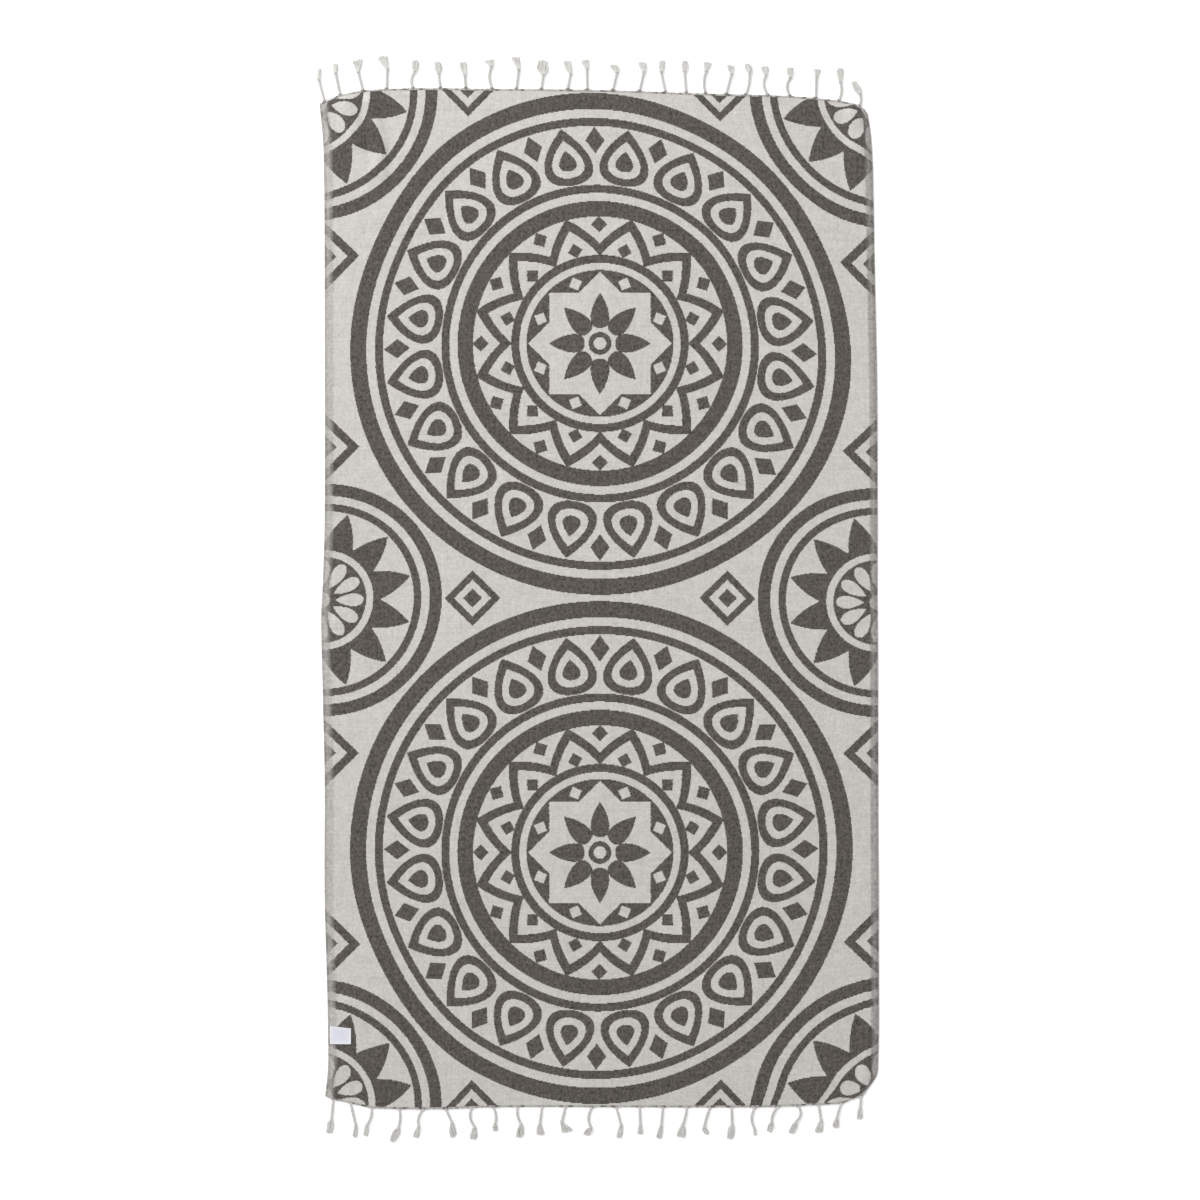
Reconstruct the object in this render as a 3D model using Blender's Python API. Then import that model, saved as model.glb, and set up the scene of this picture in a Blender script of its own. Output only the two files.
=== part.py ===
"""Hammam towel, laid out flat with its face up.

One woven cloth with a selvedge down each side, a row of knotted tassels along each end, and a small bare
care label sewn in at the left selvedge. Metres, +Z up. The towel rests on z = 0, with +Y towards its
upper end and the origin under the middle of everything that is built.
"""

from bisect import bisect_right
from collections import namedtuple
from math import hypot, pi, sin

import bmesh
import bpy

MM = 0.001

# ---- Driving sizes -------------------------------------------------------------------------------------

TOWEL_WIDTH = 0.953  # selvedge to selvedge
TOWEL_LENGTH = 1.751  # hem to hem, without the tassels
CLOTH_THICK = 0.002
PIECE_GAP = 0.0004  # air between the cloth and what is joined to it
COLUMNS = 50  # cells of the cloth from side to side
ROWS = 84  # cells of the cloth from end to end
CROWDING = 0.88  # 0 spaces the cells evenly, towards 1 they crowd at the edges

STRIP_DEPTH = 0.003  # the hem's outermost edge, which carries the tassels
STRIP_THICK = 0.0024
PULL_AT_ROOT = 0.001  # each tassel draws the hem out by this much
LEAST_CELL = 0.0004  # no column makes a rib of the strip this close to a side of a root

CORD_WIDE = 0.004  # the twisted cord of a tassel
CORD_HIGH = 0.0036
CORD_SECTIONS = (0.2, 0.4, 0.6)  # shares of the way from root to knot
KNOT_WIDE = 0.0072
KNOT_HIGH = 0.0066
KNOT_LONG = 0.007
TOP_SHARE = 0.6  # the width of a strand's upper side beside that of its underside

LABEL_LEFT = -0.4645
LABEL_RIGHT = -0.4285
LABEL_TOP = -0.736
LABEL_FOOT = -0.767
LABEL_DROOP = 0.004  # the free end's upper corner hangs this much lower
LABEL_THICK = 0.001

CLOTH_COLOUR = (0.30, 0.29, 0.28)  # charcoal and off-white yarn, mixed
FRINGE_COLOUR = (0.62, 0.61, 0.57)
LABEL_COLOUR = (0.80, 0.80, 0.84)
COTTON_ROUGH = 0.95
TAPE_ROUGH = 0.6

# ---- Tables, in millimetres from the middle of the towel -------------------------------------------------

# The tuft fans out past the knot. share is the way along it, spread the way from the cord's width to the
# tuft's full width.
TuftSection = namedtuple("TuftSection", "share spread high")

TUFT_SECTIONS = [
    TuftSection(share=0.35, spread=0.5, high=4.4),
    TuftSection(share=0.75, spread=0.9, high=3.8),
    TuftSection(share=1, spread=1, high=2.6),
]

# Each edge wanders about the straight line it was cut to. at is the place along it, from left to right
# or from the lower end to the upper, and out is how far it lies outside that line.
EdgeRow = namedtuple("EdgeRow", "at out")

UPPER_HEM = [
    EdgeRow(-482, -26),
    EdgeRow(-453, -13),
    EdgeRow(-408, -3),
    EdgeRow(-322, 1),
    EdgeRow(-187, 0),
    EdgeRow(0, -2),
    EdgeRow(181, -8),
    EdgeRow(316, -12),
    EdgeRow(372, -16),
    EdgeRow(430, -24),
    EdgeRow(453, -34),
    EdgeRow(460, -43),
]
LOWER_HEM = [
    EdgeRow(-472, -19),
    EdgeRow(-459, -14),
    EdgeRow(-429, -7),
    EdgeRow(-393, 1),
    EdgeRow(-346, 3),
    EdgeRow(-265, 3),
    EdgeRow(-184, 0),
    EdgeRow(0, 0),
    EdgeRow(265, 0),
    EdgeRow(378, -4),
    EdgeRow(416, -7),
    EdgeRow(435, -14),
    EdgeRow(451, -20),
    EdgeRow(457, -27),
]
LEFT_SELVEDGE = [
    EdgeRow(-856, -4),
    EdgeRow(-839, -6),
    EdgeRow(-805, -9),
    EdgeRow(-760, -9),
    EdgeRow(-657, -7),
    EdgeRow(-519, -3),
    EdgeRow(-313, -3),
    EdgeRow(-175, 0),
    EdgeRow(-38, 3),
    EdgeRow(31, 0),
    EdgeRow(134, -3),
    EdgeRow(444, -3),
    EdgeRow(770, -1),
    EdgeRow(850, 6),
]
RIGHT_SELVEDGE = [
    EdgeRow(-848, -19),
    EdgeRow(-835, -9),
    EdgeRow(-820, 0),
    EdgeRow(-795, 2),
    EdgeRow(-726, 3),
    EdgeRow(-313, 2),
    EdgeRow(0, 1),
    EdgeRow(375, 0),
    EdgeRow(513, -3),
    EdgeRow(719, -7),
    EdgeRow(788, -10),
    EdgeRow(833, -16),
]

# Soft ridges where the cloth doesn't lie quite flat. A crest runs from x0, y0 to x1, y1.
Ridge = namedtuple("Ridge", "x0 y0 x1 y1 high half_wide")

RIDGES = [
    Ridge(x0=-437, y0=848, x1=-420, y1=788, high=7, half_wide=26),
    Ridge(x0=-392, y0=852, x1=-377, y1=726, high=5, half_wide=20),
    Ridge(x0=437, y0=832, x1=445, y1=771, high=6, half_wide=22),
    Ridge(x0=-432, y0=-686, x1=-404, y1=-718, high=4, half_wide=16),
    Ridge(x0=461, y0=-738, x1=457, y1=-822, high=4, half_wide=15),
]

# One row for each tassel. root is its place across the towel. bow is how far the cord swings sideways
# between root and knot. The rest says where knot and tip lie, sideways and outwards from the root, and
# how wide the tuft fans out.
Tassel = namedtuple("Tassel", "root bow knot_lean knot_reach tip_lean tip_reach tuft")

UPPER_TASSELS = [
    Tassel(-474, 0, -10, 37, -9, 55, 7),
    Tassel(-447, 0, -8, 37, -8, 53, 8),
    Tassel(-408, 0, -8, 31, -9, 52, 18),
    Tassel(-367, 0, 1, 33, -8, 55, 17),
    Tassel(-322, -4, 3, 28, 5, 47, 13),
    Tassel(-275, 0, -3, 25, -4, 44, 14),
    Tassel(-231, 0, -2, 22, -5, 44, 13),
    Tassel(-186, -4, -1, 38, -5, 49, 17),
    Tassel(-144, 0, 4, 32, -1, 54, 14),
    Tassel(-101, 0, 3, 24, 3, 49, 20),
    Tassel(-56, 0, 5, 26, -1, 48, 13),
    Tassel(-22, 0, -1, 35, -4, 51, 13),
    Tassel(22, 0, 7, 30, 1, 43, 14),
    Tassel(68, 0, 7, 32, 5, 49, 14),
    Tassel(112, 0, -7, 33, -5, 53, 11),
    Tassel(148, 0, -3, 35, -1, 54, 11),
    Tassel(181, -3, 1, 37, 4, 53, 13),
    Tassel(217, 0, 9, 34, 7, 49, 13),
    Tassel(251, 2, 6, 36, 3, 52, 12),
    Tassel(288, -5, -3, 34, -5, 49, 14),
    Tassel(326, -5, 1, 31, 1, 48, 13),
    Tassel(371, 0, 1, 36, 3, 49, 11),
    Tassel(411, 3, 2, 31, 2, 55, 12),
    Tassel(446, 2, 1, 19, -9, 41, 12),
]
LOWER_TASSELS = [
    Tassel(-459, 0, -3, 34, -7, 57, 12),
    Tassel(-429, 0, 9, 38, 7, 57, 8),
    Tassel(-393, 3, -8, 29, -10, 47, 9),
    Tassel(-345, 2, -2, 32, -12, 55, 13),
    Tassel(-305, -4, -7, 29, -12, 48, 10),
    Tassel(-265, 0, 10, 22, 13, 47, 13),
    Tassel(-221, -5, 5, 31, 3, 53, 13),
    Tassel(-183, 3, 2, 30, 3, 40, 9),
    Tassel(-142, -3, 6, 28, 4, 51, 14),
    Tassel(-100, 0, -4, 29, -2, 47, 13),
    Tassel(-60, 0, -6, 25, 5, 42, 17),
    Tassel(-14, -5, -2, 34, -10, 47, 12),
    Tassel(28, 0, 8, 29, 5, 51, 11),
    Tassel(68, 0, 1, 29, 1, 45, 9),
    Tassel(108, 0, -3, 30, -7, 52, 10),
    Tassel(149, 1, -7, 30, -10, 50, 16),
    Tassel(189, -1, -10, 33, -5, 45, 10),
    Tassel(226, 0, 1, 28, -2, 53, 12),
    Tassel(266, -5, -1, 35, 1, 47, 5),
    Tassel(305, -3, -10, 26, -14, 42, 10),
    Tassel(341, 6, -4, 27, -12, 46, 11),
    Tassel(376, 0, 4, 26, 0, 46, 14),
    Tassel(415, -1, -8, 26, -10, 41, 11),
    Tassel(449, 0, -2, 20, -3, 38, 10),
]


# A cross-section of the hem's strip. column is its place among the cloth's columns, outer is None where a
# tassel's root covers it, and tassel is the one whose root begins there.
Rib = namedtuple("Rib", "column inner outer tassel")


# ---- The lie of the towel ------------------------------------------------------------------------------


def between(a, b, share):
    """The value a share of the way from a to b."""
    return a + (b - a) * share


def wander(rows, at):
    """How far out an edge lies at a place along it, in metres: a smooth curve through the table's rows."""
    places = [row.at * MM for row in rows]
    outs = [row.out * MM for row in rows]
    last = len(rows) - 1
    slopes = [
        (outs[min(i + 1, last)] - outs[max(i - 1, 0)]) / (places[min(i + 1, last)] - places[max(i - 1, 0)])
        for i in range(len(rows))
    ]
    i = min(max(bisect_right(places, at) - 1, 0), last - 1)
    span = places[i + 1] - places[i]
    s = min(max((at - places[i]) / span, 0), 1)
    rise = (3 - 2 * s) * s * s
    return (
        between(outs[i], outs[i + 1], rise)
        + slopes[i] * span * s * (1 - s) ** 2
        - slopes[i + 1] * span * s * s * (1 - s)
    )


def hem_point(rows, end, share):
    """A point on the upper (end 1) or lower (end -1) hem, a share of the way from left to right."""
    x = between(rows[0].at, rows[-1].at, share) * MM
    return x, end * (TOWEL_LENGTH / 2 + wander(rows, x))


def selvedge_point(rows, side, share):
    """A point on the left (side -1) or right (side 1) selvedge, a share of the way from foot to top."""
    low = TOWEL_LENGTH / 2 + LOWER_HEM[0 if side < 0 else -1].out * MM
    high = TOWEL_LENGTH / 2 + UPPER_HEM[0 if side < 0 else -1].out * MM
    y = between(-low, high, share)
    return side * (TOWEL_WIDTH / 2 + wander(rows, y)), y


def corner(rows, end, index):
    """The corner of the towel that a hem's first or last row stands for."""
    return rows[index].at * MM, end * (TOWEL_LENGTH / 2 + rows[index].out * MM)


def place(across, along):
    """The point of the towel a share of the way across and along it, blended from its four edges."""
    low = hem_point(LOWER_HEM, -1, across)
    high = hem_point(UPPER_HEM, 1, across)
    left = selvedge_point(LEFT_SELVEDGE, -1, along)
    right = selvedge_point(RIGHT_SELVEDGE, 1, along)
    low_corners = corner(LOWER_HEM, -1, 0), corner(LOWER_HEM, -1, -1)
    high_corners = corner(UPPER_HEM, 1, 0), corner(UPPER_HEM, 1, -1)
    point = []
    for axis in (0, 1):
        corners = between(
            between(low_corners[0][axis], low_corners[1][axis], across),
            between(high_corners[0][axis], high_corners[1][axis], across),
            along,
        )
        edges = between(low[axis], high[axis], along) + between(left[axis], right[axis], across)
        point.append(edges - corners)
    return point


def lift(x, y):
    """How high the underside of the cloth stands off the ground, over its soft ridges."""
    height = 0
    for ridge in RIDGES:
        x0, y0, x1, y1 = ridge.x0 * MM, ridge.y0 * MM, ridge.x1 * MM, ridge.y1 * MM
        run = hypot(x1 - x0, y1 - y0)
        share = ((x - x0) * (x1 - x0) + (y - y0) * (y1 - y0)) / run**2
        share = min(max(share, 0), 1)
        away = hypot(x - between(x0, x1, share), y - between(y0, y1, share)) / (ridge.half_wide * MM)
        height += ridge.high * MM * max(1 - away**2, 0) ** 2
    return height


def crowded(cells):
    """Shares from 0 to 1 in so many cells, which are smaller towards both ends."""
    most = sin(CROWDING * pi / 2)
    return [0.5 + 0.5 * sin((2 * i / cells - 1) * CROWDING * pi / 2) / most for i in range(cells + 1)]


ACROSS = crowded(COLUMNS)


def row_of_points(along):
    """The towel's points (x, y, lift) along one weft line, one at each column."""
    points = [place(across, along) for across in ACROSS]
    return [(x, y, lift(x, y)) for x, y in points]


def column_at(row, x):
    """How many columns lie left of a place x on a row, with a fraction for the way to the next."""
    i = min(max(bisect_right([point[0] for point in row], x) - 1, 0), len(row) - 2)
    return i + (x - row[i][0]) / (row[i + 1][0] - row[i][0])


def point_on_row(row, column):
    """The point of a row at a column, on the straight run to the next column where it has a fraction."""
    i = min(int(column), len(row) - 2)
    return tuple(between(a, b, column - i) for a, b in zip(row[i], row[i + 1]))


# ---- Pieces --------------------------------------------------------------------------------------------


def finish(name, colour, roughness):
    """A plain matt textile finish."""
    material = bpy.data.materials.new(name)
    material.use_nodes = True
    shader = material.node_tree.nodes["Principled BSDF"]
    shader.inputs["Base Color"].default_value = (*colour, 1)
    shader.inputs["Roughness"].default_value = roughness
    shader.inputs["Metallic"].default_value = 0
    return material


def add_piece(name, points, faces, material):
    """A named object from its points and faces, with all faces turned outwards."""
    shape = bmesh.new()
    corners = [shape.verts.new(point) for point in points]
    for face in faces:
        shape.faces.new([corners[k] for k in face])
    bmesh.ops.recalc_face_normals(shape, faces=shape.faces)
    mesh = bpy.data.meshes.new(name)
    shape.to_mesh(mesh)
    shape.free()
    mesh.materials.append(material)
    piece = bpy.data.objects.new(name, mesh)
    bpy.context.scene.collection.objects.link(piece)
    return piece


def slab(rows, thick):
    """Points and faces of a sheet of even thickness over rows of points (x, y, height of its underside)."""
    wide, long = len(rows[0]), len(rows)
    under = [point for row in rows for point in row]
    points = under + [(x, y, z + thick) for x, y, z in under]

    def number(i, j, layer):
        return (layer * long + j) * wide + i

    faces = []
    for layer in (0, 1):
        for j in range(long - 1):
            for i in range(wide - 1):
                cell = [(i, j), (i + 1, j), (i + 1, j + 1), (i, j + 1)]
                faces.append([number(*at, layer) for at in cell])
    rim = [(i, 0) for i in range(wide - 1)]
    rim += [(wide - 1, j) for j in range(long - 1)]
    rim += [(i, long - 1) for i in range(wide - 1, 0, -1)]
    rim += [(0, j) for j in range(long - 1, 0, -1)]
    for here, after in zip(rim, rim[1:] + rim[:1]):
        faces.append([number(*here, 0), number(*after, 0), number(*after, 1), number(*here, 1)])
    return points, faces


def make_cloth():
    """The woven length between the two strips that carry the tassels."""
    hem = (STRIP_DEPTH + PIECE_GAP) / TOWEL_LENGTH
    rows = [row_of_points(between(hem, 1 - hem, along)) for along in crowded(ROWS)]
    points, faces = slab(rows, CLOTH_THICK)
    return add_piece("cloth", points, faces, finish("woven_cotton", CLOTH_COLOUR, COTTON_ROUGH))


def strip_ribs(end, tassels):
    """The strip's ribs from left to right: one at each column of the cloth and at both sides of each root."""
    depth = STRIP_DEPTH / TOWEL_LENGTH
    outer = row_of_points(1 if end > 0 else 0)
    inner = row_of_points(1 - depth if end > 0 else depth)
    half = CORD_WIDE / 2
    ribs = []
    for tassel in tassels:
        for side in (-1, 1):
            column = column_at(outer, tassel.root * MM + side * half)
            x, y, base = point_on_row(outer, column)
            pulled = x, y + end * PULL_AT_ROOT, base
            ribs.append(Rib(column, point_on_row(inner, column), pulled, tassel if side < 0 else None))
    for column, outer_point in enumerate(outer):
        away = [abs(outer_point[0] - tassel.root * MM) for tassel in tassels]
        if all(abs(distance - half) > LEAST_CELL for distance in away):
            ribs.append(Rib(column, inner[column], outer_point if min(away) > half else None, None))
    return sorted(ribs, key=lambda rib: rib.column)


def make_fringe(name, end, tassels):
    """One end's tassels, their roots fused into the narrow outermost strip of the hem."""
    points, faces = [], []

    def post(place):
        """The numbers of the strip's lower and upper point at one place, or None where it has none."""
        if place is None:
            return None
        x, y, base = place
        points.extend([(x, y, base), (x, y, base + STRIP_THICK)])
        return len(points) - 2, len(points) - 1

    ribs = strip_ribs(end, tassels)
    inside = [post(rib.inner) for rib in ribs]
    outside = [post(rib.outer) for rib in ribs]
    for a, b in zip(inside, inside[1:]):
        faces.append([a[0], b[0], b[1], a[1]])
    shown = [i for i, rib in enumerate(ribs) if rib.outer]
    for i, j in zip(shown, shown[1:]):
        a, b = outside[i], outside[j]
        for level in (0, 1):
            faces.append([a[level]] + [pair[level] for pair in inside[i : j + 1]] + [b[level]])
        root = [a[0], a[1], b[1], b[0]]
        if ribs[i].tassel:
            add_strand(points, faces, root, ribs[i].tassel, end)
        else:
            faces.append(root)
    for k in (0, -1):
        faces.append([inside[k][0], outside[k][0], outside[k][1], inside[k][1]])
    return add_piece(name, points, faces, finish(name + "_cotton", FRINGE_COLOUR, COTTON_ROUGH))


def strand_rings(tassel, root_x, root_y, end):
    """Cross-sections of one tassel from just past its root to its tip: (x, y, width, height)."""
    knot_lean, knot_reach = tassel.knot_lean * MM, tassel.knot_reach * MM
    tip_lean, tip_reach = tassel.tip_lean * MM, tassel.tip_reach * MM

    def cord(share, wide, high):
        swing = tassel.bow * MM * sin(pi * share)
        return root_x + knot_lean * share + swing, root_y + end * knot_reach * share, wide, high

    def brush(share, wide, high):
        x = root_x + between(knot_lean, tip_lean, share)
        return x, root_y + end * between(knot_reach, tip_reach, share), wide, high

    half_knot = KNOT_LONG / 2
    before_knot = half_knot / knot_reach
    past_knot = half_knot / (tip_reach - knot_reach)
    rings = [cord(share, CORD_WIDE, CORD_HIGH) for share in CORD_SECTIONS]
    rings += [
        cord(1 - before_knot, CORD_WIDE, CORD_HIGH),
        cord(1 - before_knot / 2, KNOT_WIDE, KNOT_HIGH),
        brush(past_knot / 2, KNOT_WIDE, KNOT_HIGH),
        brush(past_knot, CORD_WIDE, CORD_HIGH),
    ]
    for section in TUFT_SECTIONS:
        wide = between(CORD_WIDE, tassel.tuft * MM, section.spread)
        rings.append(brush(between(past_knot, 1, section.share), wide, section.high * MM))
    return rings


def add_strand(points, faces, root, tassel, end):
    """Grows a four-sided tassel out of the strip's outer face, level on the ground from its first ring on."""
    root_x = tassel.root * MM
    root_y = (points[root[0]][1] + points[root[3]][1]) / 2
    rings = strand_rings(tassel, root_x, root_y, end)
    centres = [(root_x, root_y)] + [ring[:2] for ring in rings]
    before = root
    for i, (x, y, width, height) in enumerate(rings, start=1):
        behind, ahead = centres[i - 1], centres[min(i + 1, len(centres) - 1)]
        run = hypot(ahead[0] - behind[0], ahead[1] - behind[1])
        right_x, right_y = end * (ahead[1] - behind[1]) / run, end * (behind[0] - ahead[0]) / run
        ring = list(range(len(points), len(points) + 4))
        for side, share, z in ((-1, 1, 0), (-1, TOP_SHARE, height), (1, TOP_SHARE, height), (1, 1, 0)):
            reach = side * share * width / 2
            points.append((x + right_x * reach, y + right_y * reach, z))
        for k in range(4):
            after = (k + 1) % 4
            faces.append([before[k], before[after], ring[after], ring[k]])
        before = ring
    faces.append(before)


def make_label():
    """The bare care label, lying on the cloth's face at the left selvedge."""
    base = CLOTH_THICK + PIECE_GAP
    rows = [
        [(LABEL_LEFT, LABEL_FOOT, base), (LABEL_RIGHT, LABEL_FOOT, base)],
        [(LABEL_LEFT, LABEL_TOP, base), (LABEL_RIGHT, LABEL_TOP - LABEL_DROOP, base)],
    ]
    points, faces = slab(rows, LABEL_THICK)
    return add_piece("care_label", points, faces, finish("label_tape", LABEL_COLOUR, TAPE_ROUGH))


def centre_on_origin(pieces):
    """Moves all the pieces so that the middle of their outline lies over the origin."""
    corners = [vertex.co for piece in pieces for vertex in piece.data.vertices]
    middle = [(min(c[axis] for c in corners) + max(c[axis] for c in corners)) / 2 for axis in (0, 1)]
    for piece in pieces:
        piece.location = (-middle[0], -middle[1], 0)


for old in list(bpy.data.objects):
    bpy.data.objects.remove(old)

centre_on_origin(
    [
        make_cloth(),
        make_fringe("fringe_top", 1, UPPER_TASSELS),
        make_fringe("fringe_bottom", -1, LOWER_TASSELS),
        make_label(),
    ]
)
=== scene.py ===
"""Hammam towel, laid out flat with its face up and seen from straight above.

The sections follow the towel as it is made: the woven cloth, the tassels knotted from its warp ends, the
care label sewn in last, and then the floor, the light and the camera. Metres, +Z up, +Y to the upper end.
"""

from bisect import bisect_right
from collections import Counter, namedtuple
from math import atan, cos, exp, hypot, pi, sin, sqrt, tan, tau
from random import Random

import bpy
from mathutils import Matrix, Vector


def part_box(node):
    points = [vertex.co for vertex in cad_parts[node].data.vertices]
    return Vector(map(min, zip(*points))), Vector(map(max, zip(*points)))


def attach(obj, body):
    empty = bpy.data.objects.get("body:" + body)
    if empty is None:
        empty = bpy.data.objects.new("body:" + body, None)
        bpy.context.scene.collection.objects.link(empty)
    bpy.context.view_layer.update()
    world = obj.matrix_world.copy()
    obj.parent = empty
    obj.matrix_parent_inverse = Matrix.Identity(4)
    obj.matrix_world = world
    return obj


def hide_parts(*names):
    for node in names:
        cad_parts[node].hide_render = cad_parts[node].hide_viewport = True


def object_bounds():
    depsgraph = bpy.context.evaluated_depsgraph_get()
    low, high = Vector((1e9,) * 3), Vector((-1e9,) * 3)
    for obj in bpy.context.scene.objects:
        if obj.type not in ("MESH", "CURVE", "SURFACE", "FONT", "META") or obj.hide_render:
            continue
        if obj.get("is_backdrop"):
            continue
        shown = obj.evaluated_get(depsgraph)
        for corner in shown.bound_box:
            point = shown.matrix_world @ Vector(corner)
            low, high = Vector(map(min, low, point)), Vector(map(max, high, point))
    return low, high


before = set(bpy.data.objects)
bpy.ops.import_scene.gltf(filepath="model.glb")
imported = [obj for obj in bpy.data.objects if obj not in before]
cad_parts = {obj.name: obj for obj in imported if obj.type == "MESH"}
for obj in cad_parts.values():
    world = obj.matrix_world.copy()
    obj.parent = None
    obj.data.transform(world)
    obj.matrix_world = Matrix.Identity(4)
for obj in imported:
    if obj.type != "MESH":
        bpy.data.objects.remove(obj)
solid_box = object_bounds()


# ---- The cloth ------------------------
# One length of double-faced jacquard, woven of charcoal and off-white cotton. The pattern is in the weave,
# so the reverse shows it with its colours changed over. A selvedge runs down each side, and the cloth lies
# flat but for a few soft ridges near its corners.

MM = 0.001
TOWEL_WIDTH = 0.953  # selvedge to selvedge
TOWEL_LENGTH = 1.751  # hem to hem, without the tassels
CLOTH_THICK = 0.0019
EDGE_THICK = 0.0011  # at the very edge of a selvedge
EDGE_ROUND = 0.003  # how far in from its edge the cloth reaches its full thickness
FLOOR_GAP = 0.00015
STRIP_DEPTH = 0.003  # the hem's outermost edge, which carries the tassels
PULL_REACH = 0.30  # how far into the cloth the pull of an edge is felt
COLUMNS, ROWS = 236, 168
CROWD_ACROSS, CROWD_ALONG = 0.62, 0.86  # how much they crowd to the edges, from 0 to 1
SHARP_ANGLE = 1.0  # radians, from which an edge between two faces shows

# Each edge wanders about its straight cut. at is a place along it, to the right or upwards from the towel's
# middle, and out is how far the edge lies outside that cut, in millimetres.
EdgeRow = namedtuple("EdgeRow", "at out")


def table(kind, *rows):
    """Rows of values under the names of their kind."""
    return [kind(*row) for row in rows]


UPPER_HEM = table(
    EdgeRow,
    (-482, -26), (-453, -13), (-408, -3), (-322, 1), (-187, 0), (0, -2),
    (181, -8), (316, -12), (372, -16), (430, -24), (453, -34), (460, -43),
)
LOWER_HEM = table(
    EdgeRow,
    (-472, -19), (-459, -14), (-429, -7), (-393, 1), (-346, 3), (-265, 3), (-184, 0),
    (0, 0), (265, 0), (378, -4), (416, -7), (435, -14), (451, -20), (457, -27),
)
LEFT_SELVEDGE = table(
    EdgeRow,
    (-856, -4), (-839, -6), (-805, -9), (-760, -9), (-657, -7), (-519, -3), (-313, -3),
    (-175, 0), (-38, 3), (31, 0), (134, -3), (444, -3), (770, -1), (850, 6),
)
RIGHT_SELVEDGE = table(
    EdgeRow,
    (-848, -19), (-835, -9), (-820, 0), (-795, 2), (-726, 3), (-313, 2),
    (0, 1), (375, 0), (513, -3), (719, -7), (788, -10), (833, -16),
)

# The creases, given one by one: soft ridges whose crests run from x0, y0 to x1, y1, in millimetres.
Ridge = namedtuple("Ridge", "x0 y0 x1 y1 high half_wide")

RIDGES = table(
    Ridge,
    (-437, 848, -420, 788, 7, 26),
    (-392, 852, -377, 726, 5, 20),
    (437, 832, 445, 771, 6, 22),
    (-432, -686, -404, -718, 4, 16),
    (461, -738, 457, -822, 4, 15),
    (-371, 778, -392, 722, 2.2, 11),
    (-395, 868, -411, 845, 1.8, 9),
    (-432, 642, -420, 616, 1.0, 13),
    (427, 838, 432, 806, 1.6, 10),
    (250, -774, 245, -802, 1.0, 12),
    (391, -822, 398, -852, 1.4, 12),
)

# Long shallow waves over the whole cloth: radians in a metre, each way, where they start, and how high.
Wave = namedtuple("Wave", "across along turned high")

WAVES = table(
    Wave, (9, 31, 0.4, 0.00030), (-23, 14, 2.1, 0.00025), (41, -19, 4.0, 0.00018), (6, 83, 1.2, 0.00012)
)


def between(a, b, share):
    """The value a share of the way from a to b."""
    return a + (b - a) * share


def wander(rows, at):
    """How far out an edge lies at a place along it: a smooth curve through the table's rows."""
    places = [row.at * MM for row in rows]
    outs = [row.out * MM for row in rows]
    last = len(rows) - 1

    def slope(i):
        before, after = max(i - 1, 0), min(i + 1, last)
        return (outs[after] - outs[before]) / (places[after] - places[before])

    i = min(max(bisect_right(places, at) - 1, 0), last - 1)
    span = places[i + 1] - places[i]
    s = min(max((at - places[i]) / span, 0), 1)
    rise = (3 - 2 * s) * s * s
    return (
        between(outs[i], outs[i + 1], rise)
        + slope(i) * span * s * (1 - s) ** 2
        - slope(i + 1) * span * s * s * (1 - s)
    )


def hem_shift(end, across):
    """How far a point of the upper (end 1) or lower (end -1) hem lies from its place in a straight hem."""
    rows = UPPER_HEM if end > 0 else LOWER_HEM
    x = between(rows[0].at, rows[-1].at, across) * MM
    return Vector((x - (across - 0.5) * TOWEL_WIDTH, end * wander(rows, x)))


def selvedge_shift(side, along):
    """The same for a point of the left (side -1) or right (side 1) selvedge."""
    rows = LEFT_SELVEDGE if side < 0 else RIGHT_SELVEDGE
    corner = 0 if side < 0 else -1
    foot = -TOWEL_LENGTH / 2 - LOWER_HEM[corner].out * MM
    head = TOWEL_LENGTH / 2 + UPPER_HEM[corner].out * MM
    y = between(foot, head, along)
    return Vector((side * wander(rows, y), y - (along - 0.5) * TOWEL_LENGTH))


def fade(away):
    """1 at an edge of the cloth, falling smoothly to 0 where its pull ends."""
    share = min(away / PULL_REACH, 1)
    return (1 - share) ** 2 * (1 + 2 * share)


def lift(x, y):
    """How high the cloth stands off the ground at x, y, over its ridges and waves."""
    height = 0
    for ridge in RIDGES:
        x0, y0, x1, y1, high, half_wide = (length * MM for length in ridge)
        run = hypot(x1 - x0, y1 - y0)
        share = min(max(((x - x0) * (x1 - x0) + (y - y0) * (y1 - y0)) / run**2, 0), 1)
        away = hypot(x - between(x0, x1, share), y - between(y0, y1, share)) / half_wide
        height += high * max(1 - away**2, 0) ** 2
    for wave in WAVES:
        height += wave.high * (1 + sin(wave.across * x + wave.along * y + wave.turned))
    return height


def lay(acrosses, alongs):
    """Rows of points on the towel's underside, each a share of the way across and along it."""
    hems = {end: [hem_shift(end, across) for across in acrosses] for end in (-1, 1)}
    grid = []
    for along in alongs:
        selvedges = {side: selvedge_shift(side, along) for side in (-1, 1)}
        row = []
        for i, across in enumerate(acrosses):
            point = Vector(((across - 0.5) * TOWEL_WIDTH, (along - 0.5) * TOWEL_LENGTH))
            shift = Vector((0, 0))
            for end in (-1, 1):
                by_hem = fade((0.5 - end * (along - 0.5)) * TOWEL_LENGTH)
                shift += hems[end][i] * by_hem
                for side in (-1, 1):
                    by_side = fade((0.5 - side * (across - 0.5)) * TOWEL_WIDTH)
                    shift -= hem_shift(end, (1 + side) / 2) * (by_hem * by_side)
            for side in (-1, 1):
                shift += selvedges[side] * fade((0.5 - side * (across - 0.5)) * TOWEL_WIDTH)
            x, y = point + shift
            row.append(Vector((x, y, FLOOR_GAP + lift(x, y))))
        grid.append(row)
    return grid


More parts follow.
